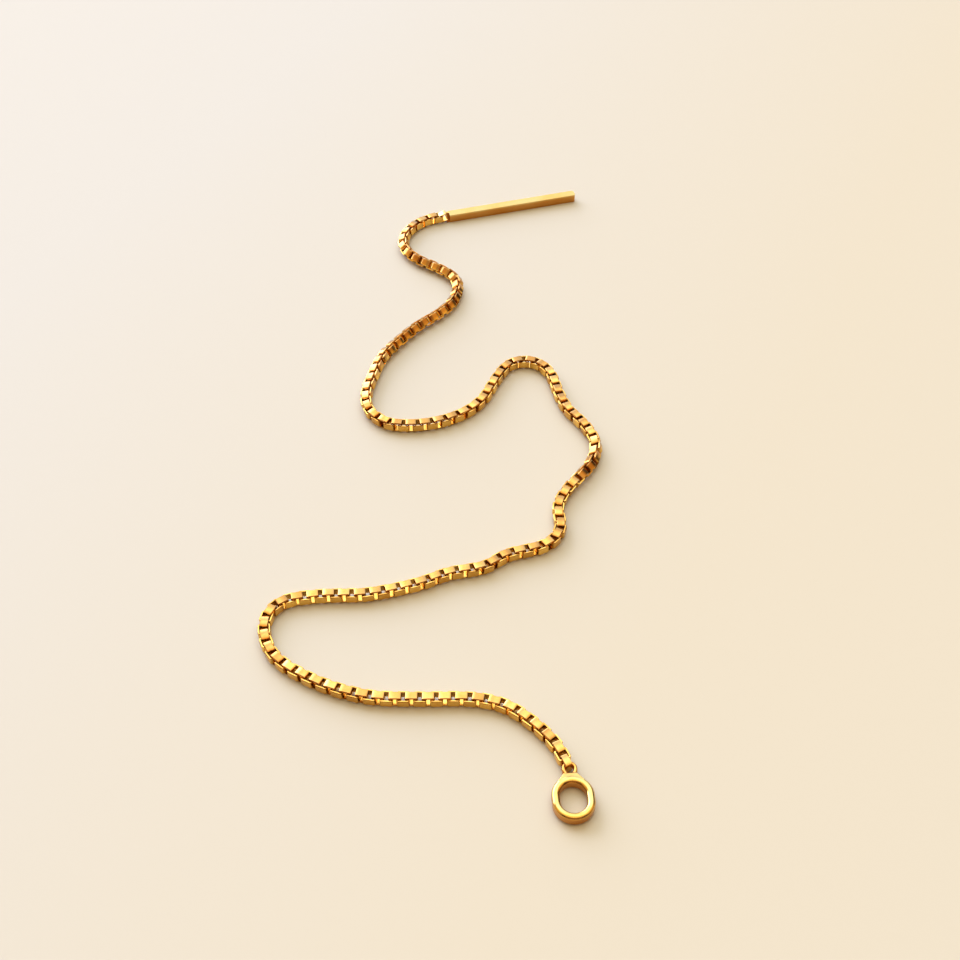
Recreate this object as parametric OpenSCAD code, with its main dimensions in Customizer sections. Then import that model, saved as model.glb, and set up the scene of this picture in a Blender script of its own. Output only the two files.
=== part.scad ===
// Threader earring: a square post, a fine box chain and an oval end ring, lying flat as laid out on a table.
// Units are millimetres, +Z is up, and the origin is the middle of the outline at the height of the table.

/* [Chain] */
// Width of the chain across its flat sides
chain_w = 1.05; // [1:0.01:1.15]
// Thickness of the flat strip that each link is bent from
strip_t = 0.08; // [0.06:0.01:0.1]
// Outer length of a link, along the chain
link_l = 1.02; // [0.99:0.01:1.05]
// Gap between a link's strip and the link that it passes through, on each side
side_play = 0.21; // [0.18:0.01:0.23]
// Slack between two hooked links, along the chain
end_play = 0.21; // [0.18:0.01:0.23]
// Corner cut off each bend of a link
bend_cut = 0.18; // [0.14:0.01:0.22]
// Strip width that a rolled link's height over the table allows for, as real links have less play
rest_w = 0.72; // [0.6:0.01:0.75]

/* [Post] */
// Length of the square bar
post_l = 14.8; // [10:0.1:30]
// Width and height of the square bar
post_w = 0.9; // [0.7:0.05:1]
// Radius of the two upright edges at the free end
tip_r = 0.2; // [0.05:0.05:0.3]
// Depth by which the soldered end link sinks into the bar
solder_depth = 0.24; // [0.1:0.01:0.3]

/* [End ring] */
// Outer width of the ring
ring_w = 3.2; // [2.8:0.1:4.5]
// Outer length of the ring
ring_l = 3.7; // [3.3:0.1:5]
// Width of the ring's band
ring_band = 0.62; // [0.4:0.02:0.9]
// Height of the ring as it lies
ring_h = 1; // [0.8:0.05:1.2]
// Direction of the ring's long axis, seen from above
ring_turn = 93; // [80:1:110]

/* [Eyelet] */
// Width of the rim round the eyelet's hole
eyelet_rim = 0.22; // [0.18:0.01:0.24]
// Gap between the first link's strip and the eyelet's hole, on each side
eyelet_play = 0.16; // [0.12:0.01:0.2]
// Length of the eyelet's hole beyond its width
eyelet_stretch = 0.12; // [0.06:0.01:0.3]
// Metal left between the ring's hole and the eyelet's hole
web_l = 0.74; // [0.7:0.02:1.2]
// Width of the neck that joins the eyelet to the ring
neck_w = 1.1; // [0.8:0.05:1.2]

/* [Hidden] */

$fn = 96;

// The chain's line over the table from the first link to the soldered one: x, y and roll about the line.
// Roll is in degrees. The even links lie with their plates up at 0, and the odd ones at -90.
route = [
    [9.95, -34.25, 0], [9.1, -32.5, 0], [7.4, -30.6, 0], [5.3, -29.1, 0], [2.6, -28.5, 0],
    [-1.3, -28.5, 0], [-5.2, -28.3, 0], [-9, -27.1, 0], [-12.4, -25, 0], [-13.8, -22.8, 0],
    [-13.9, -20.5, 0], [-12.6, -18.9, 0], [-9.8, -18.3, 0], [-5.8, -18.1, 0], [-1.9, -17.1, 0],
    [0.9, -15.9, 0], [3.8, -15.2, 0], [5.8, -13.9, 0], [8, -13.2, 0], [9.2, -12.7, 0],
    [10.1, -11.8, 0], [10.5, -10.6, 0], [10.4, -9.3, 0], [10.5, -7.9, -1], [11.4, -6.1, -10],
    [12.7, -4.4, -29], [13.8, -2.5, -50], [14.1, -0.3, -74], [13.2, 2, -88], [11.8, 4.1, -90],
    [11, 6.3, -90], [10.7, 7.7, -90], [10.2, 9.3, -90], [9.2, 10.5, -90], [7.8, 10.9, -90],
    [6.4, 10.4, -90], [5.5, 9.2, -90], [4.7, 7.5, -90], [3.7, 5.4, -90], [2.1, 3.7, -90],
    [-0.2, 2.5, -90], [-2.8, 2, -90], [-5.2, 2.3, -88], [-6.9, 3.9, -82], [-7.3, 6.2, -76],
    [-6.8, 8.9, -69], [-6, 11.5, -60], [-4.5, 13.9, -51], [-2.7, 16.2, -46], [-0.7, 18.1, -46],
    [0.7, 20, -49], [1.2, 22.2, -54], [0.8, 23.9, -54], [-0.7, 25.4, -49], [-3.1, 27.1, -46],
    [-4.5, 29, -53], [-4.6, 31.1, -69], [-3.6, 33.05, -85], [-2.05, 34.3, -90], [-0.48, 34.8, -90]
];
// Steps from one chosen point to the next
steps = 24;

// Width of the strip, which leaves its play inside the neighbouring link
strip_w = chain_w - 2 * strip_t - 2 * side_play;

// A smooth curve through the chosen points: cubic stretches with the end points mirrored
last = len(route) - 1;
function knot(i) =
    i < 0 ? 2 * route[0] - route[1] :
    i > last ? 2 * route[last] - route[last - 1] :
    route[i];
function blend(a, b, c, d, t) =
    b + t * (c - a) / 2
    + pow(t, 2) * (2 * a - 5 * b + 4 * c - d) / 2
    + pow(t, 3) * (3 * b - a - 3 * c + d) / 2;
curve = [
    for (i = [0 : last - 1], k = [0 : steps - 1])
        blend(knot(i - 1), knot(i), knot(i + 1), knot(i + 2), k / steps),
    route[last]
];

// Length run along the curve up to each of its points
function flat(p) = [p.x, p.y];
run = [
    for (i = 0, s = 0; i < len(curve);
        i = i + 1, s = s + (i < len(curve) ? norm(flat(curve[i] - curve[i - 1])) : 0))
        s
];
chain_l = run[len(run) - 1];
x_at = [for (i = [0 : len(run) - 1]) [run[i], curve[i].x]];
y_at = [for (i = [0 : len(run) - 1]) [run[i], curve[i].y]];
roll_at = [for (i = [0 : len(run) - 1]) [run[i], curve[i].z]];

// The links share the length evenly. Their number is odd, so that the soldered link lies plates up.
hook_l = link_l - 2 * strip_t - end_play;
link_count = 2 * round((chain_l / hook_l - 1) / 2) + 1;
pitch = chain_l / link_count;

// Height of a link's middle when the chain, rolled so far, touches the table
function rest_z(roll) = max(
    chain_w / 2 * abs(cos(roll)) + rest_w / 2 * abs(sin(roll)),
    chain_w / 2 * abs(sin(roll)) + rest_w / 2 * abs(cos(roll)));
function place(s) = [lookup(s, x_at), lookup(s, y_at), rest_z(lookup(s, roll_at))];
function travel(s) = place(min(s + pitch / 2, chain_l)) - place(max(s - pitch / 2, 0));
function heading(s) = atan2(travel(s).y, travel(s).x);
function climb(s) = atan2(travel(s).z, norm(flat(travel(s))));

// The eyelet's far rim lies inside the first link, midway between that link's end and the second link
rim_shift = (link_l - strip_t - pitch) / 2;
hole_w = strip_w + 2 * eyelet_play;
hole_l = hole_w + eyelet_stretch;
hole_end = place(0) - (rim_shift + (hole_w + eyelet_rim) / 2) * [cos(heading(0)), sin(heading(0)), 0];
eyelet_t = strip_w;
ring_hole_w = ring_w - 2 * ring_band;
ring_hole_l = ring_l - 2 * ring_band;
eyelet_y = ring_hole_l / 2 + web_l + hole_l / 2;

// One link lying on its side: a flat strip bent to a closed loop with cut corners
module loop_outline(l, w, cut) {
    polygon([
        [-l / 2, cut - w / 2], [cut - l / 2, -w / 2], [l / 2 - cut, -w / 2], [l / 2, cut - w / 2],
        [l / 2, w / 2 - cut], [l / 2 - cut, w / 2], [cut - l / 2, w / 2], [-l / 2, w / 2 - cut]
    ]);
}

module link() {
    // Cut that keeps the strip's thickness at the corner too
    inner_cut = bend_cut - strip_t * (2 - sqrt(2));
    linear_extrude(strip_w, center = true)
        difference() {
            loop_outline(link_l, chain_w, bend_cut);
            loop_outline(link_l - 2 * strip_t, chain_w - 2 * strip_t, inner_cut);
        }
}

// Link number i in its place, turned a quarter against its neighbours
module placed_link(i) {
    s = i * pitch;
    turn = i % 2 == 0 ? 90 : 0;
    translate(place(s))
        rotate([turn - lookup(s, roll_at), -climb(s), heading(s)])
            link();
}

// A slot shape: two half rounds joined by straight sides, long along y
module oval(w, l) {
    for (side = [-1, 1])
        translate([0, side * (l - w) / 2])
            circle(d = w);
    square([w, l - w], center = true);
}

module post() {
    start = link_l / 2 - solder_depth;
    color("gold") {
        placed_link(link_count);
        translate([place(chain_l).x, place(chain_l).y, 0])
            rotate(heading(chain_l))
                translate([start, 0, 0])
                    linear_extrude(post_w) {
                        translate([0, -post_w / 2])
                            square([post_l - tip_r, post_w]);
                        translate([post_l - 2 * tip_r, tip_r - post_w / 2])
                            square([2 * tip_r, post_w - 2 * tip_r]);
                        for (side = [-1, 1])
                            translate([post_l - tip_r, side * (post_w / 2 - tip_r)])
                                circle(r = tip_r);
                    }
    }
}

module box_chain() {
    color("goldenrod")
        for (i = [0 : link_count - 1])
            placed_link(i);
}

module ring_plate() {
    linear_extrude(ring_h)
        difference() {
            oval(ring_w, ring_l);
            oval(ring_hole_w, ring_hole_l);
        }
}

module eyelet_plate() {
    neck_start = (ring_hole_l + ring_band) / 2;
    translate([0, 0, (chain_w - eyelet_t) / 2])
        linear_extrude(eyelet_t)
            difference() {
                union() {
                    translate([0, eyelet_y])
                        oval(hole_w + 2 * eyelet_rim, hole_l + 2 * eyelet_rim);
                    translate([-neck_w / 2, neck_start])
                        square([neck_w, eyelet_y - neck_start]);
                }
                translate([0, eyelet_y])
                    oval(hole_w, hole_l);
            }
}

module end_ring() {
    color("gold")
        translate([hole_end.x, hole_end.y, 0])
            rotate(ring_turn - 90)
                translate([0, -eyelet_y - (hole_l - hole_w) / 2, 0]) {
                    ring_plate();
                    eyelet_plate();
                }
}

post();
box_chain();
end_ring();
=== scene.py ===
"""Dresses a packed threader earring: a square post, a box chain and a cast end ring on a pale table."""

import math

import bmesh
import bpy
import numpy as np
from mathutils import Matrix, Vector


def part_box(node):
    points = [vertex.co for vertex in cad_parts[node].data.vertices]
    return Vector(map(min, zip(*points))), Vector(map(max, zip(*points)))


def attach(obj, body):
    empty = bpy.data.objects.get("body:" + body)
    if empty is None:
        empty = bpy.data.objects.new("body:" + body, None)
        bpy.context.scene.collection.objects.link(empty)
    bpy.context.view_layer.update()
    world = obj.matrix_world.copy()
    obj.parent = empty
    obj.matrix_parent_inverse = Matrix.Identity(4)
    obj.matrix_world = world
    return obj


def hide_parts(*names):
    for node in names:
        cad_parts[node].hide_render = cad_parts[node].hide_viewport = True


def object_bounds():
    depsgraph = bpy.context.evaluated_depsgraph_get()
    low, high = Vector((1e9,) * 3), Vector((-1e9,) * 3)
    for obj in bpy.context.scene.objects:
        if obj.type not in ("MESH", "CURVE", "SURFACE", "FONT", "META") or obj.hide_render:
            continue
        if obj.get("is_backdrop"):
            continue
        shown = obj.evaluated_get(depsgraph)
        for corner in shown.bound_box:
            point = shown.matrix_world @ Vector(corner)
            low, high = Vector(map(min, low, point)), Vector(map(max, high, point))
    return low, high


bl_info = {
    "name": "Threader Earring",
    "version": (1, 0, 0),
    "blender": (4, 5, 0),
    "location": "View3D > Sidebar > Earring",
    "description": "Builds a gold threader earring around its packed solids, with table, light and camera",
    "category": "Object",
}

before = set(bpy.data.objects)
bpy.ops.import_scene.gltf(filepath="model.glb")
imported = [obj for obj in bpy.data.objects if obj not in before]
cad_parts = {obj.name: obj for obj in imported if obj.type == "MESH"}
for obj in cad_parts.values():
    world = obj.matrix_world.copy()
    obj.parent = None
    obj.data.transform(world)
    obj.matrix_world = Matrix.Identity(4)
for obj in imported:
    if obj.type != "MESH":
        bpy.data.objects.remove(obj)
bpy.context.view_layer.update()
RING_LOW, RING_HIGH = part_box("end_ring")
MM = 0.001
BODY = "root"

# Light from all round. Each patch has its middle, the cosines between which it fades in, and its colour:
# a dim glow all over, warm light overhead, cool light behind, a bright pale patch at the back left,
# amber light on the right and on the left, and a dim brown patch in front.
SKY = (
    ((0.0, 0.0, 1.0), -1.0, 0.3, (0.05, 0.04, 0.03)),
    ((0.0, 0.12, 1.0), 0.66, 0.96, (1.69, 1.52, 0.9)),
    ((0.0, 0.78, 0.62), 0.66, 0.92, (1.31, 1.51, 1.81)),
    ((-0.62, 0.74, 0.26), 0.82, 0.92, (4.4, 4.6, 5.4)),
    ((0.8, 0.0, 0.56), 0.88, 0.97, (0.92, 0.54, 0.16)),
    ((-0.85, -0.1, 0.5), 0.86, 0.97, (0.86, 0.52, 0.15)),
    ((0.0, -0.75, 0.65), 0.6, 0.95, (0.36, 0.17, 0.06)),
)

# The square soft light: its place and its side in metres, and its colour
KEY_PLACE = (-0.22, 0.22, 0.30)
KEY_SIDE = 0.22
KEY_COLOUR = (1.0, 0.98, 0.95)

# Half the table's side and the backdrop's sizes, in metres, with the flat panels in the backdrop's round
TABLE_HALF = 1.5
WALL_RADIUS = 1.4
WALL_HEIGHT = 1.4
WALL_SIDES = 64

# Shares of the table's colour at its warm side and at its cool side
WARM_TABLE = (0.985, 1.025, 0.91)
COOL_TABLE = (0.965, 1.07, 1.11)

# The places in metres between which the table turns from cool to warm, how far that line slants with the
# distance from the camera, and how far clouds shift it
TABLE_FADE = (-0.055, 0.03)
TABLE_SLANT = 0.5
TABLE_SHIFT = 0.01

# Shares of a piece's height between which its side colour turns to its top colour: painted light and shade
# that stand in for how light falls on sides and tops
PAINTED_LIGHT_FADE = (0.72, 0.97)

# Sizes of the scratches and of the swell in the gold, and the height of the swell
SCRATCH_SIZE = 0.05 * MM
SWELL_SIZE = 0.9 * MM
SWELL_DEPTH = 0.006 * MM

# Strengths of the noise between which the gold's clouded patches set in
PATCH_FADE = (0.42, 0.68)

# Roughness that the clouded patches and the scratches add
PATCH_ROUGHNESS = 0.10
SCRATCH_ROUGHNESS = 0.08

# Seeds of the links' random tilts about their three axes, and of their tone
TILT_SEEDS = (11, 23, 37)
TONE_SEED = 53

# The link in the eyelet is bent from a narrower strip
FIRST_LINK_SHARE = 0.82

# Angles above which an edge of a link or of the finished bar keeps a hard shade
LINK_SHARP = math.radians(30)
BAR_SHARP = math.radians(20)

# Angle above which an edge of the bar is softened
SOFTEN_ABOVE = math.radians(30)

# Steps in each round edge of the bar's free end, in each rounded corner of a band, and round both bands
ROUND_STEPS = 6
CORNER_STEPS = 4
RING_STEPS = 96
EYELET_STEPS = 64

# Length at the post's soldered end whose corner points give the middle of that end
END_SLICE = 0.2 * MM

# The eyelet: the length of its hole beyond its width, and the radius of its rounded edges
HOLE_STRETCH = 0.1 * MM
EYELET_EDGE = 0.12 * MM

# The neck: the share of the ring's band that it reaches into, its gap before the eyelet's hole, its half
# widths at ring and eyelet, and how far its underside and its top lie inside the ring and above the eyelet's
NECK_SINK = 0.7
NECK_GAP = 0.1 * MM
NECK_HALF_WIDTHS = (1.0 * MM, 0.5 * MM)
NECK_INSIDE_RING = (0.06 * MM, 0.02 * MM)
NECK_OVER_EYELET = (0.04 * MM, 0.08 * MM)

# Smoothing of the fused casting: the share of each step, and the number of steps
SMOOTH_SHARE = 0.5
SMOOTH_STEPS = 12


def corner_points(node):
    """Returns the different corner points of a CAD node, in metres, and its triangles as rows of indices."""
    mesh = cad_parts[node].data
    places = np.empty(len(mesh.vertices) * 3)
    mesh.vertices.foreach_get("co", places)
    grid = np.round(places.reshape(-1, 3), 7)
    points, index = np.unique(grid, axis=0, return_inverse=True)
    mesh.calc_loop_triangles()
    corners = np.empty(len(mesh.loop_triangles) * 3, dtype=int)
    mesh.loop_triangles.foreach_get("vertices", corners)
    return points, index.reshape(-1)[corners].reshape(-1, 3)


def loose_groups(points, triangles):
    """Splits points into the groups that triangles join, as a list of index arrays."""
    parent = np.arange(len(points))
    changed = True
    while changed:
        lowest = parent[triangles].min(axis=1)
        before = parent.copy()
        for column in range(3):
            np.minimum.at(parent, triangles[:, column], lowest)
        parent = parent[parent]
        changed = bool((parent != before).any())
    return [np.flatnonzero(parent == root) for root in np.unique(parent)]


def post_line():
    """Returns the post's level direction, from the chain to its free end, and its corner points."""
    points, _ = corner_points("post")
    flat = points[:, :2] - points[:, :2].mean(axis=0)
    along = np.linalg.svd(flat, full_matrices=False)[2][0]
    return np.array([*(along * np.sign(along[0])), 0.0]), points


def link_places():
    """Reads each packed link's middle, direction along the chain and loop normal, starting at the ring."""
    points, triangles = corner_points("box_chain")
    middles, normals = [], []
    for group in loose_groups(points, triangles):
        link = points[group]
        middles.append(link.mean(axis=0))
        normals.append(np.linalg.svd(link - link.mean(axis=0), full_matrices=False)[2][2])
    middles, normals = np.array(middles), np.array(normals)
    ring = (np.array(RING_LOW) + np.array(RING_HIGH)) / 2
    order = [int(np.argmin(np.linalg.norm(middles - ring, axis=1)))]
    left = set(range(len(middles))) - set(order)
    while left:
        rest = np.array(sorted(left))
        nearest = rest[np.argmin(np.linalg.norm(middles[rest] - middles[order[-1]], axis=1))]
        order.append(int(nearest))
        left.remove(int(nearest))
    middles, normals = middles[order], normals[order]
    ahead = np.gradient(middles, axis=0)
    ahead /= np.linalg.norm(ahead, axis=1)[:, None]
    return middles, ahead, normals


LINKS = link_places()
PITCH = float(np.linalg.norm(np.diff(LINKS[0], axis=0), axis=1).mean())


class ChainSettings(bpy.types.PropertyGroup):
    """Sizes of one link of the box chain"""

    width: bpy.props.FloatProperty(
        name="Chain width", description="Width of the chain across its flat sides",
        default=1.05 * MM, unit="LENGTH", precision=5)
    link_length: bpy.props.FloatProperty(
        name="Link length", description="Outer length of one link along the chain",
        default=1.03 * MM, unit="LENGTH", precision=5)
    strip_width: bpy.props.FloatProperty(
        name="Strip width", description="Width of the flat strip that a link is bent from",
        default=0.68 * MM, unit="LENGTH", precision=5)
    strip_thickness: bpy.props.FloatProperty(
        name="Strip thickness", description="Thickness of the flat strip",
        default=0.13 * MM, unit="LENGTH", precision=5)
    bend_radius: bpy.props.FloatProperty(
        name="Bend radius", description="Radius of a link's bends, at the middle of the strip",
        default=0.09 * MM, unit="LENGTH", precision=5)
    edge: bpy.props.FloatProperty(
        name="Edge", description="Width of the strip's softened edges",
        default=0.04 * MM, unit="LENGTH", precision=5)
    looseness: bpy.props.FloatProperty(
        name="Looseness", description="Largest random tilt of a link against its neighbours",
        default=math.radians(1.8), subtype="ANGLE")


class PostSettings(bpy.types.PropertyGroup):
    """Sizes of the square post"""

    side: bpy.props.FloatProperty(
        name="Side", description="Width and height of the square bar",
        default=0.9 * MM, unit="LENGTH", precision=5)
    tip_radius: bpy.props.FloatProperty(
        name="Tip radius", description="Radius of the two upright edges at the free end",
        default=0.2 * MM, unit="LENGTH", precision=5)
    edge: bpy.props.FloatProperty(
        name="Edge", description="Width of the bar's softened edges",
        default=0.035 * MM, unit="LENGTH", precision=5)
    neck_length: bpy.props.FloatProperty(
        name="Neck length", description="Length of the solder that joins link and bar",
        default=0.34 * MM, unit="LENGTH", precision=5)
    neck_share: bpy.props.FloatProperty(
        name="Neck share", description="Height of the solder's top as a share of the bar's side",
        default=0.93, min=0.1, max=1)
    solder_depth: bpy.props.FloatProperty(
        name="Solder depth", description="How far the solder reaches into the soldered link",
        default=0.12 * MM, unit="LENGTH", precision=5)
    link_share: bpy.props.FloatProperty(
        name="Link share", description="Length of the soldered link as a share of the other links' length",
        default=0.86, min=0.5, max=1)
    link_height: bpy.props.FloatProperty(
        name="Link height", description="Height of the soldered link as a share of the chain's width",
        default=0.92, min=0.1, max=1)
    link_tilt: bpy.props.FloatProperty(
        name="Link tilt", description="Tilt by which the soldered link rises towards the bar",
        default=math.radians(18), subtype="ANGLE")


class RingSettings(bpy.types.PropertyGroup):
    """Sizes of the end ring and its eyelet"""

    width: bpy.props.FloatProperty(
        name="Ring width", description="Outer width of the oval ring",
        default=3.2 * MM, unit="LENGTH", precision=5)
    length: bpy.props.FloatProperty(
        name="Ring length", description="Outer length of the oval ring",
        default=3.7 * MM, unit="LENGTH", precision=5)
    band: bpy.props.FloatProperty(
        name="Band", description="Width of the ring's band",
        default=0.62 * MM, unit="LENGTH", precision=5)
    edge: bpy.props.FloatProperty(
        name="Edge", description="Radius of the ring's rounded edges",
        default=0.27 * MM, unit="LENGTH", precision=5)
    eyelet_hole: bpy.props.FloatProperty(
        name="Eyelet hole", description="Width of the eyelet's hole",
        default=0.58 * MM, unit="LENGTH", precision=5)
    eyelet_rim: bpy.props.FloatProperty(
        name="Eyelet rim", description="Width of the rim round the eyelet's hole",
        default=0.3 * MM, unit="LENGTH", precision=5)
    eyelet_height: bpy.props.FloatProperty(
        name="Eyelet height", description="Height of the eyelet's rim",
        default=0.55 * MM, unit="LENGTH", precision=5)
    grain: bpy.props.FloatProperty(
        name="Grain", description="Size of the cells that fuse the casting into one skin",
        default=0.03 * MM, unit="LENGTH", precision=5)


class FinishSettings(bpy.types.PropertyGroup):
    """Colour and polish of the gold, with painted light and shade on tops and sides"""

    gold: bpy.props.FloatVectorProperty(
        name="Gold", description="Colour of the polished tops of bar and ring",
        default=(0.75, 0.505, 0.166), subtype="COLOR", min=0, max=1)
    # Painted shade: bar and ring are coloured darker low on their sides, standing in for the shadowed table
    # that those sides reflect
    painted_side_gold: bpy.props.FloatVectorProperty(
        name="Side gold", description="Colour low on the sides of bar and ring, which is deeper",
        default=(0.6, 0.285, 0.068), subtype="COLOR", min=0, max=1)
    # Painted light and shade: the chain's tops are coloured duller and its sides brighter low down, which
    # tones down the tops' highlights and lifts the sides; this is not wear or polish
    chain_gold: bpy.props.FloatVectorProperty(
        name="Chain gold", description="Colour of the chain's tops, which are worn duller",
        default=(0.645, 0.36, 0.118), subtype="COLOR", min=0, max=1)
    chain_lit_side_gold: bpy.props.FloatVectorProperty(
        name="Chain side gold", description="Colour low on the chain's sides, which keep their polish",
        default=(0.88, 0.57, 0.148), subtype="COLOR", min=0, max=1)
    deep_gold: bpy.props.FloatVectorProperty(
        name="Deep gold", description="Share of the gold's colour that is left in its clouded patches",
        default=(0.93, 0.82, 0.63), subtype="COLOR", min=0, max=1)
    dark_link: bpy.props.FloatVectorProperty(
        name="Dark link", description="Share of the chain's colour on its darkest link",
        default=(0.76, 0.67, 0.58), subtype="COLOR", min=0, max=1)
    pale_link: bpy.props.FloatVectorProperty(
        name="Pale link", description="Share of the chain's colour on its palest link",
        default=(1.08, 1.08, 1.04), subtype="COLOR", min=0, max=2)
    roughness: bpy.props.FloatProperty(
        name="Roughness", description="Roughness of the polish", default=0.16, min=0, max=1)


class StageSettings(bpy.types.PropertyGroup):
    """Table, lights and camera"""

    table: bpy.props.FloatVectorProperty(
        name="Table", description="Colour of the table",
        default=(0.614, 0.552, 0.552), subtype="COLOR", min=0, max=1)
    wall: bpy.props.FloatVectorProperty(
        name="Wall", description="Colour of the backdrop",
        default=(0.87, 0.78, 0.69), subtype="COLOR", min=0, max=1)
    sky: bpy.props.FloatProperty(
        name="Sky", description="Brightness of the light from all round", default=1.0, min=0)
    key: bpy.props.FloatProperty(
        name="Key", description="Power of the soft light from the back left, in watts", default=0.1, min=0)
    eye: bpy.props.FloatVectorProperty(
        name="Eye", description="Place of the camera",
        default=(3.5 * MM, -88.6 * MM, 88.84 * MM), subtype="TRANSLATION", precision=5)
    pitch: bpy.props.FloatProperty(
        name="Pitch", description="Angle by which the camera looks down",
        default=math.radians(46.58), subtype="ANGLE")
    lens: bpy.props.FloatProperty(
        name="Lens", description="Focal length for a sensor 36 mm wide", default=50.81, min=1)


class Value:
    """An output socket that takes part in ordinary arithmetic; every step adds a Math node."""

    def __init__(self, tree, socket):
        self.tree = tree
        self.socket = socket

    def math(self, operation, *values):
        """Adds one Math node."""
        return self.tree.add("ShaderNodeMath", {"operation": operation}, dict(enumerate(values)))

    def __add__(self, other):
        return self.math("ADD", self, other)

    __radd__ = __add__

    def __sub__(self, other):
        return self.math("SUBTRACT", self, other)

    def __rsub__(self, other):
        return self.math("SUBTRACT", other, self)

    def __mul__(self, other):
        return self.math("MULTIPLY", self, other)

    __rmul__ = __mul__


class Tree:
    """Adds nodes to one node tree."""

    def __init__(self, tree):
        self.tree = tree

    def add(self, kind, settings=None, inputs=None, out=0):
        """Adds a node, sets its settings, fills its inputs by name or number and returns one output."""
        node = self.tree.nodes.new(kind)
        for name, setting in (settings or {}).items():
            setattr(node, name, setting)
        for key, value in (inputs or {}).items():
            if isinstance(value, Value):
                self.tree.links.new(value.socket, node.inputs[key])
            else:
                node.inputs[key].default_value = value
        return Value(self, node.outputs[out]) if node.outputs else None

    def split(self, vector):
        """Takes a vector apart into its x, y and z."""
        node = self.add("ShaderNodeSeparateXYZ", None, {0: vector}).socket.node
        return [Value(self, socket) for socket in node.outputs]

    def noise(self, place, scale, detail, roughness):
        """Adds a cloudy pattern."""
        inputs = {"Vector": place, "Scale": scale, "Detail": detail, "Roughness": roughness}
        return self.add("ShaderNodeTexNoise", {"noise_dimensions": "3D"}, inputs)

    def fade(self, value, start, end, kind="SMOOTHSTEP"):
        """Rises from 0 to 1 while a value rises from start to end."""
        return self.add(
            "ShaderNodeMapRange", {"interpolation_type": kind, "clamp": True},
            {"Value": value, "From Min": start, "From Max": end})

    def mix(self, factor, low, high):
        """Mixes two colours, each a link or three numbers."""
        low, high = (colour if isinstance(colour, Value) else (*colour, 1) for colour in (low, high))
        return self.add("ShaderNodeMix", {"data_type": "RGBA"}, {0: factor, 6: low, 7: high}, out=2)

    def combine(self, operation, first, second, out=0):
        """Adds one Vector Math node, which also takes colours."""
        return self.add("ShaderNodeVectorMath", {"operation": operation}, {0: first, 1: second}, out)


def new_material(name):
    """Makes a material with an empty node tree and returns both."""
    material = bpy.data.materials.new(name)
    material.use_nodes = True
    material.node_tree.nodes.clear()
    return material, Tree(material.node_tree)


def gold_material(name, top_gold, painted_side_gold, top, cloud_size, scratch_depth, by_link=False):
    """Makes gold with a top colour and a side colour, which paint light and shade by height, clouded
    patches, scratches and a slight swell.
    """
    look = bpy.context.scene.earring_finish
    material, tree = new_material(name)
    place = tree.add("ShaderNodeTexCoord", out="Object")
    clouds = tree.noise(place, 1 / cloud_size, 3.0, 0.55)
    scratches = tree.noise(place, 1 / SCRATCH_SIZE, 4.0, 0.6)
    swell = tree.noise(place, 1 / SWELL_SIZE, 1.0, 0.4)
    patches = tree.fade(clouds, *PATCH_FADE, "LINEAR")
    # Painted light and shade: the colour turns from the side colour low on a piece to the top colour near
    # its top
    painted_light_by_height = tree.fade(tree.split(place)[2], PAINTED_LIGHT_FADE[0] * top, PAINTED_LIGHT_FADE[1] * top)
    colour = tree.combine(
        "MULTIPLY", tree.mix(painted_light_by_height, tuple(painted_side_gold), tuple(top_gold)),
        tree.mix(patches, (1.0, 1.0, 1.0), tuple(look.deep_gold)))
    if by_link:
        tone = tree.add("ShaderNodeAttribute", {"attribute_name": "link_tone"}, out="Fac")
        shade = tree.mix(tone, tuple(look.dark_link), tuple(look.pale_link))
        colour = tree.combine("MULTIPLY", colour, shade)
    roughness = look.roughness + PATCH_ROUGHNESS * patches + SCRATCH_ROUGHNESS * (scratches - 0.5)
    height = scratch_depth * scratches + SWELL_DEPTH * swell
    normal = tree.add("ShaderNodeBump", None, {"Strength": 0.5, "Distance": 1.0, "Height": height})
    shader = tree.add(
        "ShaderNodeBsdfPrincipled", None,
        {"Base Color": colour, "Metallic": 1.0, "Roughness": roughness, "Normal": normal})
    tree.add("ShaderNodeOutputMaterial", None, {"Surface": shader})
    return material


def table_material(colour):
    """Makes the table's matt paint, which turns from cool at the back left to warm at the right."""
    material, tree = new_material("table_paint")
    place = tree.add("ShaderNodeTexCoord", out="Object")
    across, back, _ = tree.split(place)
    clouds = tree.noise(place, 14.0, 2.0, 0.5)
    warmth = tree.fade(
        across - TABLE_SLANT * back + TABLE_SHIFT * (clouds - 0.5), *TABLE_FADE, "LINEAR")
    cool, warm = (tuple(c * f for c, f in zip(colour, share)) for share in (COOL_TABLE, WARM_TABLE))
    shader = tree.add(
        "ShaderNodeBsdfPrincipled", None,
        {"Base Color": tree.mix(warmth, cool, warm), "Roughness": 0.75, "Specular IOR Level": 0.2})
    tree.add("ShaderNodeOutputMaterial", None, {"Surface": shader})
    return material


def object_of(name, mesh, material):
    """Puts a finished mesh into the scene at the origin, with one material."""
    mesh.materials.clear()
    mesh.materials.append(material)
    piece = bpy.data.objects.new(name, mesh)
    bpy.context.scene.collection.objects.link(piece)
    return piece


def declare(piece, slot, *nodes):
    """Says which body a piece rides on and which CAD nodes it stands for; the slot is not used."""
    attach(piece, BODY)
    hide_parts(*nodes)


def smooth_with_edges(mesh, angle):
    """Shades a mesh smooth, apart from edges that are sharper than an angle."""
    mesh.shade_smooth()
    mesh.set_sharp_from_angle(angle=angle)


def mesh_of(name, shape):
    """Turns a shape under work into a mesh."""
    mesh = bpy.data.meshes.new(name)
    shape.to_mesh(mesh)
    shape.free()
    return mesh


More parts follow.
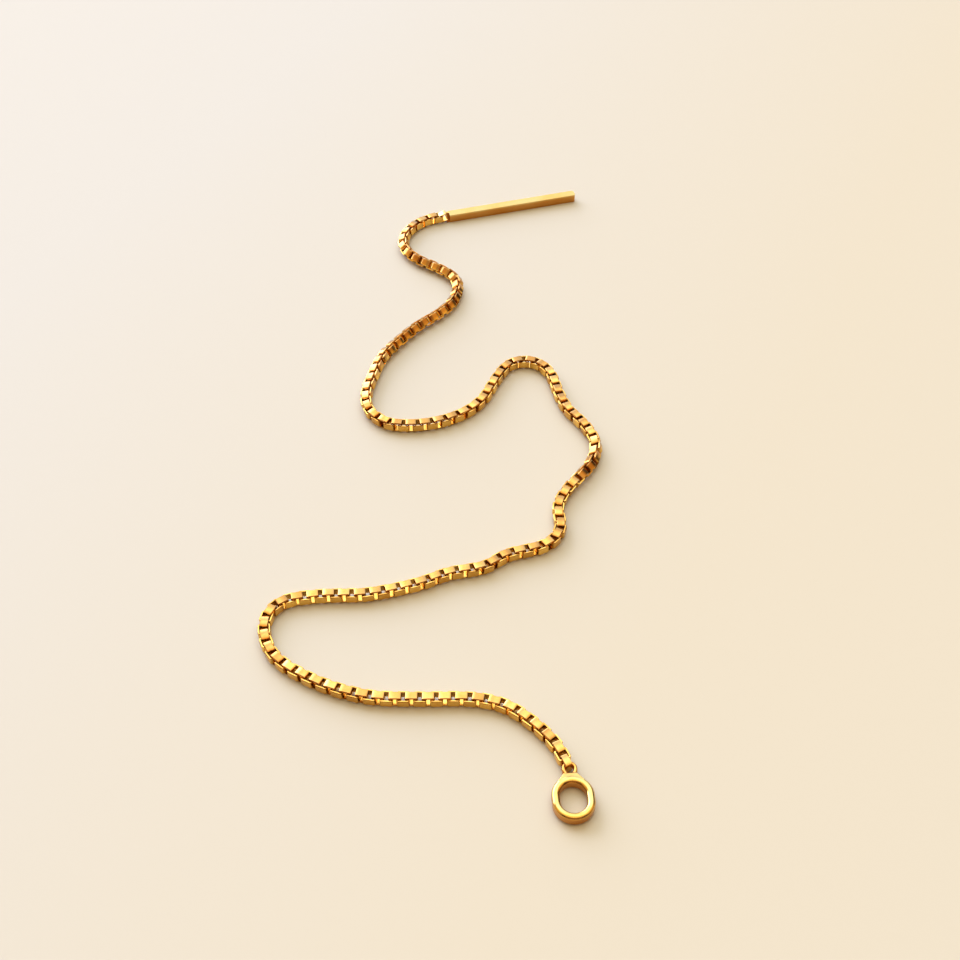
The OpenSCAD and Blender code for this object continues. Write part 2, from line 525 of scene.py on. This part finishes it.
def solid_mesh(name, shape):
    """Turns a closed shape into a mesh whose faces point outwards."""
    bmesh.ops.recalc_face_normals(shape, faces=shape.faces)
    return mesh_of(name, shape)


def add_walls(shape, rows):
    """Joins each closed row of corners to the next one by a belt of faces."""
    for near, far in zip(rows, rows[1:]):
        size = len(near)
        for i in range(size):
            shape.faces.new((near[i], near[(i + 1) % size], far[(i + 1) % size], far[i]))


def joined(name, *meshes):
    """Joins meshes into one."""
    shape = bmesh.new()
    for mesh in meshes:
        shape.from_mesh(mesh)
    return mesh_of(name, shape)


def finished_mesh(name, mesh, *modifiers):
    """Runs modifiers, each a kind with its settings, over a mesh and returns the plain result."""
    carrier = bpy.data.objects.new(name, mesh)
    bpy.context.scene.collection.objects.link(carrier)
    for kind, settings in modifiers:
        modifier = carrier.modifiers.new(kind, kind)
        for key, setting in settings.items():
            setattr(modifier, key, setting)
    depsgraph = bpy.context.evaluated_depsgraph_get()
    result = bpy.data.meshes.new_from_object(carrier.evaluated_get(depsgraph))
    carrier.modifiers.clear()
    bpy.data.objects.remove(carrier)
    return result


def route_mesh(name, middles, ahead, normals, shares):
    """Makes a mesh with one vertex for each link, which carries the link's axes and shares of full size."""
    mesh = bpy.data.meshes.new(name)
    mesh.from_pydata([tuple(p) for p in middles], [(i, i + 1) for i in range(len(middles) - 1)], [])
    for key, rows in (("ahead", ahead), ("loop_normal", normals), ("link_share", shares)):
        attribute = mesh.attributes.new(key, "FLOAT_VECTOR", "POINT")
        attribute.data.foreach_set("vector", np.asarray(rows, dtype=np.float32).ravel())
    return mesh


def link_tree():
    """Builds the node tree that sets a bent link of flat strip on every vertex of a route."""
    group = bpy.data.node_groups.new("box_links", "GeometryNodeTree")
    group.interface.new_socket("Geometry", in_out="OUTPUT", socket_type="NodeSocketGeometry")
    group.interface.new_socket("Route", in_out="INPUT", socket_type="NodeSocketGeometry")
    sizes = (
        "Link Length", "Chain Width", "Strip Width", "Strip Thickness", "Bend Radius", "Edge", "Looseness")
    for name in sizes:
        group.interface.new_socket(name, in_out="INPUT", socket_type="NodeSocketFloat")
    group.interface.new_socket("Material", in_out="INPUT", socket_type="NodeSocketMaterial")
    tree = Tree(group)
    entry = group.nodes.new("NodeGroupInput")
    given = {socket.name: Value(tree, socket) for socket in entry.outputs if socket.name}

    thickness = given["Strip Thickness"]
    loop = tree.add(
        "GeometryNodeCurvePrimitiveQuadrilateral", {"mode": "RECTANGLE"},
        {"Width": given["Link Length"] - thickness, "Height": given["Chain Width"] - thickness})
    bent = tree.add(
        "GeometryNodeFilletCurve", {"mode": "POLY"},
        {"Curve": loop, "Count": 2, "Radius": given["Bend Radius"], "Limit Radius": True})
    upright = tree.add("GeometryNodeSetCurveNormal", {"mode": "Z_UP"}, {"Curve": bent})
    strip = tree.add(
        "GeometryNodeCurvePrimitiveQuadrilateral", {"mode": "RECTANGLE"},
        {"Width": thickness, "Height": given["Strip Width"]})
    side = tree.split(tree.add("GeometryNodeInputPosition"))[0]
    outside = side.math("GREATER_THAN", side, 0.0)
    soft = tree.add(
        "GeometryNodeFilletCurve", {"mode": "POLY"},
        {"Curve": strip, "Count": 1, "Radius": given["Edge"] * outside, "Limit Radius": True})
    link = tree.add(
        "GeometryNodeCurveToMesh", None, {"Curve": upright, "Profile Curve": soft, "Fill Caps": False})

    ahead, normal, share = (
        tree.add("GeometryNodeInputNamedAttribute", {"data_type": "FLOAT_VECTOR"}, {"Name": name})
        for name in ("ahead", "loop_normal", "link_share"))
    turn = tree.add(
        "FunctionNodeAxesToRotation", {"primary_axis": "X", "secondary_axis": "Z"},
        {"Primary Axis": ahead, "Secondary Axis": normal})
    tilt = [
        tree.add(
            "FunctionNodeRandomValue", {"data_type": "FLOAT"},
            {2: given["Looseness"] * -1.0, 3: given["Looseness"], "Seed": seed}, out=1)
        for seed in TILT_SEEDS
    ]
    wobble = tree.add("ShaderNodeCombineXYZ", None, dict(enumerate(tilt)))
    loose = tree.add(
        "FunctionNodeRotateRotation", {"rotation_space": "LOCAL"},
        {"Rotation": turn, "Rotate By": tree.add("FunctionNodeEulerToRotation", None, {0: wobble})})
    copies = tree.add(
        "GeometryNodeInstanceOnPoints", None,
        {"Points": given["Route"], "Instance": link, "Rotation": loose, "Scale": share})
    tone = tree.add(
        "FunctionNodeRandomValue", {"data_type": "FLOAT"}, {2: 0.0, 3: 1.0, "Seed": TONE_SEED}, out=1)
    toned = tree.add(
        "GeometryNodeStoreNamedAttribute", {"data_type": "FLOAT", "domain": "INSTANCE"},
        {"Geometry": copies, "Name": "link_tone", "Value": tone})
    real = tree.add("GeometryNodeRealizeInstances", None, {"Geometry": toned})
    painted = tree.add("GeometryNodeSetMaterial", None, {"Geometry": real, "Material": given["Material"]})
    leave = group.nodes.new("NodeGroupOutput")
    group.links.new(painted.socket, leave.inputs[0])
    return group


def links_mesh(name, middles, ahead, normals, shares, material):
    """Runs the link tree over some of the links and returns the result as a plain mesh."""
    size = bpy.context.scene.earring_chain
    group = bpy.data.node_groups.get("box_links") or link_tree()
    carrier = bpy.data.objects.new(name, route_mesh(name, middles, ahead, normals, shares))
    bpy.context.scene.collection.objects.link(carrier)
    modifier = carrier.modifiers.new("Links", "NODES")
    modifier.node_group = group
    values = {
        "Link Length": size.link_length, "Chain Width": size.width, "Strip Width": size.strip_width,
        "Strip Thickness": size.strip_thickness, "Bend Radius": size.bend_radius, "Edge": size.edge,
        "Looseness": size.looseness, "Material": material,
    }
    for item in group.interface.items_tree:
        if item.in_out == "INPUT" and item.name in values:
            modifier[item.identifier] = values[item.name]
    depsgraph = bpy.context.evaluated_depsgraph_get()
    mesh = bpy.data.meshes.new_from_object(carrier.evaluated_get(depsgraph))
    carrier.modifiers.remove(modifier)
    bpy.data.objects.remove(carrier)
    smooth_with_edges(mesh, LINK_SHARP)
    return mesh


class EARRING_OT_chain(bpy.types.Operator):
    """Set a bent link of flat strip on every packed link of the box chain"""

    bl_idname = "earring.chain"
    bl_label = "Box chain"

    def execute(self, context):
        look = context.scene.earring_finish
        # Chain gold with painted shade on its tops and painted light low on its sides
        material = gold_material(
            "chain_gold", look.chain_gold, look.chain_lit_side_gold, context.scene.earring_chain.width,
            cloud_size=0.8 * MM, scratch_depth=0.002 * MM, by_link=True)
        shares = [(1.0, 1.0, FIRST_LINK_SHARE)] + [(1.0, 1.0, 1.0)] * (len(LINKS[0]) - 1)
        mesh = links_mesh("box_chain_links", *LINKS, shares, material)
        declare(object_of("box_chain_links", mesh, material), "chain_gold", "box_chain")
        return {"FINISHED"}


def bar_mesh(length, size):
    """Makes the bar along +X, with solder at its start and round upright edges at its free end."""
    half = size.side / 2
    peak = size.side * size.neck_share
    radius = size.tip_radius
    rows = [(size.neck_length, half), (length - radius, half)]
    for step in range(1, ROUND_STEPS + 1):
        angle = math.radians(90 * step / ROUND_STEPS)
        rows.append((length - radius + radius * math.sin(angle), half - radius + radius * math.cos(angle)))
    shape = bmesh.new()
    # The solder is as wide as the bar at its foot and slopes up to a narrow top on one side
    solder = ((-half, size.side - peak), (half, size.side - peak), (half, peak), (half / 2, peak))
    sections = [[shape.verts.new((x, y, z)) for y, z in solder] for x in (0.0, size.neck_length)]
    for x, wide in rows:
        corners = ((-wide, 0.0), (wide, 0.0), (wide, size.side), (-wide, size.side))
        sections.append([shape.verts.new((x, y, z)) for y, z in corners])
    add_walls(shape, sections)
    shape.faces.new(sections[0])
    shape.faces.new(sections[-1])
    return solid_mesh("bar", shape)


class EARRING_OT_post(bpy.types.Operator):
    """Build the square post with its softened edges, and the link that is soldered to it"""

    bl_idname = "earring.post"
    bl_label = "Square post"

    def execute(self, context):
        size = context.scene.earring_post
        chain = context.scene.earring_chain
        look = context.scene.earring_finish
        along, points = post_line()
        # Places of the post's corner points along its line
        reach = points @ along
        link_end = points[reach < reach.min() + END_SLICE].mean(axis=0)
        side_step = link_end - along * (link_end @ along)
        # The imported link's middle lies one pitch beyond that of the last loose link
        packed_link = 2 * (float((LINKS[0][-1]) @ along) + PITCH - reach.min())
        shortened = (1 - size.link_share) * chain.link_length
        bar_start = reach.min() + packed_link - shortened - size.solder_depth

        bevel = {"width": size.edge, "segments": 2, "limit_method": "ANGLE", "angle_limit": SOFTEN_ABOVE}
        bar = finished_mesh("bar", bar_mesh(reach.max() - bar_start, size), ("BEVEL", bevel))
        smooth_with_edges(bar, BAR_SHARP)
        base = side_step + along * bar_start
        turn = math.atan2(along[1], along[0])
        bar.transform(Matrix.Translation((base[0], base[1], 0.0)) @ Matrix.Rotation(turn, 4, "Z"))

        # Gold with painted shade low on the bar's sides
        material = gold_material(
            "bar_gold", look.gold, look.painted_side_gold, size.side, cloud_size=2.4 * MM, scratch_depth=0.0015 * MM)
        middle = side_step + along * (reach.min() + (packed_link - shortened) / 2)
        # The tilted link stands with its lowest corner on the table
        middle[2] = (
            math.cos(size.link_tilt) * size.link_height * chain.width
            + math.sin(size.link_tilt) * size.link_share * chain.link_length) / 2
        level = np.cross(along, [0.0, 0.0, 1.0])
        rising = along * math.cos(size.link_tilt) + np.array([0.0, 0.0, math.sin(size.link_tilt)])
        shares = [(size.link_share, size.link_height, 1.0)]
        last = links_mesh("soldered_link", [middle], [rising], [level], shares, material)
        mesh = joined("post_bar", bar, last)
        declare(object_of("post_bar", mesh, material), "bar_gold", "post")
        return {"FINISHED"}


def round_point(radius, angle, centre_y):
    """Returns a point of a circle about a place on the y axis, with its outward direction."""
    nx, ny = math.cos(angle), math.sin(angle)
    return radius * nx, centre_y + radius * ny, nx, ny


def oval_path(width, length, count):
    """Returns points and outward directions round an oval of two half circles joined by straight sides."""
    radius = width / 2
    straight = length - width
    half_round = math.pi * radius
    rows = []
    for index in range(count):
        run = index / count * (2 * half_round + 2 * straight)
        if run < straight / 2:
            rows.append((radius, run, 1.0, 0.0))
            continue
        run -= straight / 2
        if run < half_round:
            rows.append(round_point(radius, run / radius, straight / 2))
            continue
        run -= half_round
        if run < straight:
            rows.append((-radius, straight / 2 - run, -1.0, 0.0))
            continue
        run -= straight
        if run < half_round:
            rows.append(round_point(radius, math.pi + run / radius, -straight / 2))
            continue
        run -= half_round
        rows.append((radius, -straight / 2 + run, 1.0, 0.0))
    return rows


def band_mesh(width, length, band, low, high, edge, centre_y, count):
    """Sweeps a section with rounded corners round an oval and returns the closed band."""
    section = []
    for cx, cz, start in ((1, 1, 0), (-1, 1, 90), (-1, -1, 180), (1, -1, 270)):
        for step in range(CORNER_STEPS + 1):
            angle = math.radians(start + 90 * step / CORNER_STEPS)
            section.append((
                cx * (band / 2 - edge) + edge * math.cos(angle),
                (low + high) / 2 + cz * ((high - low) / 2 - edge) + edge * math.sin(angle)))
    shape = bmesh.new()
    rings = []
    for x, y, nx, ny in oval_path(width - band, length - band, count):
        rings.append([shape.verts.new((x + nx * out, centre_y + y + ny * out, z)) for out, z in section])
    add_walls(shape, rings + rings[:1])
    return solid_mesh("band", shape)


def neck_mesh(*ends):
    """Makes a block from two ends, each given by its place along y, half width, underside and top."""
    shape = bmesh.new()
    rows = []
    for y, half, low, high in ends:
        corners = ((-half, low), (half, low), (half, high), (-half, high))
        rows.append([shape.verts.new((x, y, z)) for x, z in corners])
    for row in rows:
        shape.faces.new(row)
    add_walls(shape, rows)
    return solid_mesh("neck", shape)


class EARRING_OT_ring(bpy.types.Operator):
    """Cast the oval end ring with its eyelet as one smooth skin"""

    bl_idname = "earring.end_ring"
    bl_label = "End ring"

    def execute(self, context):
        size = context.scene.earring_ring
        chain = context.scene.earring_chain
        look = context.scene.earring_finish
        height = RING_HIGH[2] - RING_LOW[2]
        ahead = LINKS[1][0]
        # The eyelet's far rim lies inside the first link, between that link's end and the second link
        rim_gap = (chain.link_length - chain.strip_thickness - PITCH) / 2
        rim_middle = LINKS[0][0] - ahead * rim_gap
        hole_length = size.eyelet_hole + HOLE_STRETCH
        outer_width = size.eyelet_hole + 2 * size.eyelet_rim
        outer_length = hole_length + 2 * size.eyelet_rim
        far_arc = rim_middle - ahead * (size.eyelet_hole + size.eyelet_rim) / 2
        ring_middle = np.array([(RING_LOW[0] + RING_HIGH[0]) / 2, RING_LOW[1] + size.length / 2, 0.0])
        towards = (far_arc - ring_middle)[:2]
        eyelet_y = float(np.linalg.norm(towards)) - (hole_length - size.eyelet_hole) / 2
        mid = chain.width / 2
        low, high = mid - size.eyelet_height / 2, mid + size.eyelet_height / 2

        ring = band_mesh(size.width, size.length, size.band, 0.0, height, size.edge, 0.0, RING_STEPS)
        eyelet = band_mesh(
            outer_width, outer_length, size.eyelet_rim, low, high, EYELET_EDGE, eyelet_y, EYELET_STEPS)
        neck = neck_mesh(
            (size.length / 2 - size.band * NECK_SINK, NECK_HALF_WIDTHS[0],
             NECK_INSIDE_RING[0], height - NECK_INSIDE_RING[1]),
            (eyelet_y - hole_length / 2 - NECK_GAP, NECK_HALF_WIDTHS[1],
             low + NECK_OVER_EYELET[0], high + NECK_OVER_EYELET[1]))
        skin = finished_mesh(
            "casting", joined("casting", ring, eyelet, neck),
            ("REMESH", {"mode": "VOXEL", "voxel_size": size.grain}),
            ("SMOOTH", {"factor": SMOOTH_SHARE, "iterations": SMOOTH_STEPS}))
        turn = math.atan2(towards[1], towards[0]) - math.pi / 2
        skin.transform(Matrix.Translation(Vector(ring_middle)) @ Matrix.Rotation(turn, 4, "Z"))
        skin.shade_smooth()
        # Gold with painted shade low on the ring's sides
        material = gold_material(
            "ring_gold", look.gold, look.painted_side_gold, height, cloud_size=1.6 * MM, scratch_depth=0.0015 * MM)
        declare(object_of("end_ring_casting", skin, material), "ring_gold", "end_ring")
        return {"FINISHED"}


def key_light(power):
    """Adds the square soft light at the back left, which looks at the earring."""
    data = bpy.data.lights.new("key", "AREA")
    data.shape = "SQUARE"
    data.size = KEY_SIDE
    data.energy = power
    data.color = KEY_COLOUR
    lamp = bpy.data.objects.new("key", data)
    lamp.location = KEY_PLACE
    lamp.rotation_euler = (-Vector(KEY_PLACE)).to_track_quat("-Z", "Y").to_euler()
    bpy.context.scene.collection.objects.link(lamp)


def studio_world(strength):
    """Makes the light from all round by adding up the patches of the sky."""
    world = bpy.data.worlds.new("studio")
    world.use_nodes = True
    world.node_tree.nodes.clear()
    tree = Tree(world.node_tree)
    way = tree.add("ShaderNodeTexCoord", out="Generated")
    light = (0.0, 0.0, 0.0)
    for direction, start, end, colour in SKY:
        facing = tree.combine("DOT_PRODUCT", way, Vector(direction).normalized(), out="Value")
        patch = tree.mix(tree.fade(facing, start, end), (0.0, 0.0, 0.0), colour)
        light = tree.combine("ADD", light, patch)
    glow = tree.add("ShaderNodeBackground", None, {"Color": light, "Strength": strength})
    tree.add("ShaderNodeOutputWorld", None, {"Surface": glow})
    return world


def backdrop(colour):
    """Adds the plain pale wall round the table, which only the camera sees, so it takes no light away."""
    material, tree = new_material("wall_paint")
    glow = tree.add("ShaderNodeEmission", None, {"Color": (*colour, 1.0), "Strength": 1.0})
    tree.add("ShaderNodeOutputMaterial", None, {"Surface": glow})
    material.cycles.emission_sampling = "NONE"
    shape = bmesh.new()
    angles = [math.tau * i / WALL_SIDES for i in range(WALL_SIDES)]
    add_walls(shape, [
        [shape.verts.new((WALL_RADIUS * math.cos(a), WALL_RADIUS * math.sin(a), z)) for a in angles]
        for z in (WALL_HEIGHT, 0.0)])
    wall = object_of("backdrop", mesh_of("backdrop", shape), material)
    for kind in ("diffuse", "glossy", "transmission", "volume_scatter", "shadow"):
        setattr(wall, "visible_" + kind, False)
    wall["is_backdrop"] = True


class EARRING_OT_stage(bpy.types.Operator):
    """Add the pale table, the soft studio light and the camera at the photo's angle"""

    bl_idname = "earring.stage"
    bl_label = "Table, light and camera"

    def execute(self, context):
        look = context.scene.earring_stage
        scene = context.scene
        floor_z = min(0.0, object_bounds()[0].z)
        corners = [
            (x * TABLE_HALF, y * TABLE_HALF, floor_z) for x, y in ((-1, -1), (1, -1), (1, 1), (-1, 1))]
        mesh = bpy.data.meshes.new("table")
        mesh.from_pydata(corners, [], [(0, 1, 2, 3)])
        object_of("table", mesh, table_material(tuple(look.table)))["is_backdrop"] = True

        backdrop(look.wall)
        scene.world = studio_world(look.sky)
        key_light(look.key)

        data = bpy.data.cameras.new("camera")
        data.sensor_width = 36
        data.lens = look.lens
        data.clip_start = 1 * MM
        data.clip_end = 10
        camera = bpy.data.objects.new("camera", data)
        camera.location = look.eye
        camera.rotation_euler = (math.radians(90) - look.pitch, 0.0, 0.0)
        scene.collection.objects.link(camera)
        scene.camera = camera
        scene.view_settings.view_transform = "Standard"
        return {"FINISHED"}


class EARRING_PT_panel(bpy.types.Panel):
    """Lists the earring's pieces and their sizes"""

    bl_idname = "EARRING_PT_panel"
    bl_label = "Threader earring"
    bl_space_type = "VIEW_3D"
    bl_region_type = "UI"
    bl_category = "Earring"

    def draw(self, context):
        for operator, group in STEPS:
            self.layout.operator(operator.bl_idname)
            box = self.layout.box()
            settings = getattr(context.scene, group)
            for name in settings.__annotations__:
                box.prop(settings, name)
        for name in FinishSettings.__annotations__:
            self.layout.prop(context.scene.earring_finish, name)


SETTINGS = {
    "earring_chain": ChainSettings,
    "earring_post": PostSettings,
    "earring_ring": RingSettings,
    "earring_finish": FinishSettings,
    "earring_stage": StageSettings,
}
STEPS = (
    (EARRING_OT_chain, "earring_chain"),
    (EARRING_OT_post, "earring_post"),
    (EARRING_OT_ring, "earring_ring"),
    (EARRING_OT_stage, "earring_stage"),
)
CLASSES = (*SETTINGS.values(), *(operator for operator, _ in STEPS), EARRING_PT_panel)


def register():
    """Registers the classes and hangs the settings on the scene."""
    for cls in CLASSES:
        bpy.utils.register_class(cls)
    for name, cls in SETTINGS.items():
        setattr(bpy.types.Scene, name, bpy.props.PointerProperty(type=cls))


def unregister():
    """Takes the settings and classes away again."""
    for name in SETTINGS:
        delattr(bpy.types.Scene, name)
    for cls in reversed(CLASSES):
        bpy.utils.unregister_class(cls)


def main():
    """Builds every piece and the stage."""
    register()
    for operator, _ in STEPS:
        area, _, name = operator.bl_idname.partition(".")
        getattr(getattr(bpy.ops, area), name)()


if __name__ == "__main__":
    main()
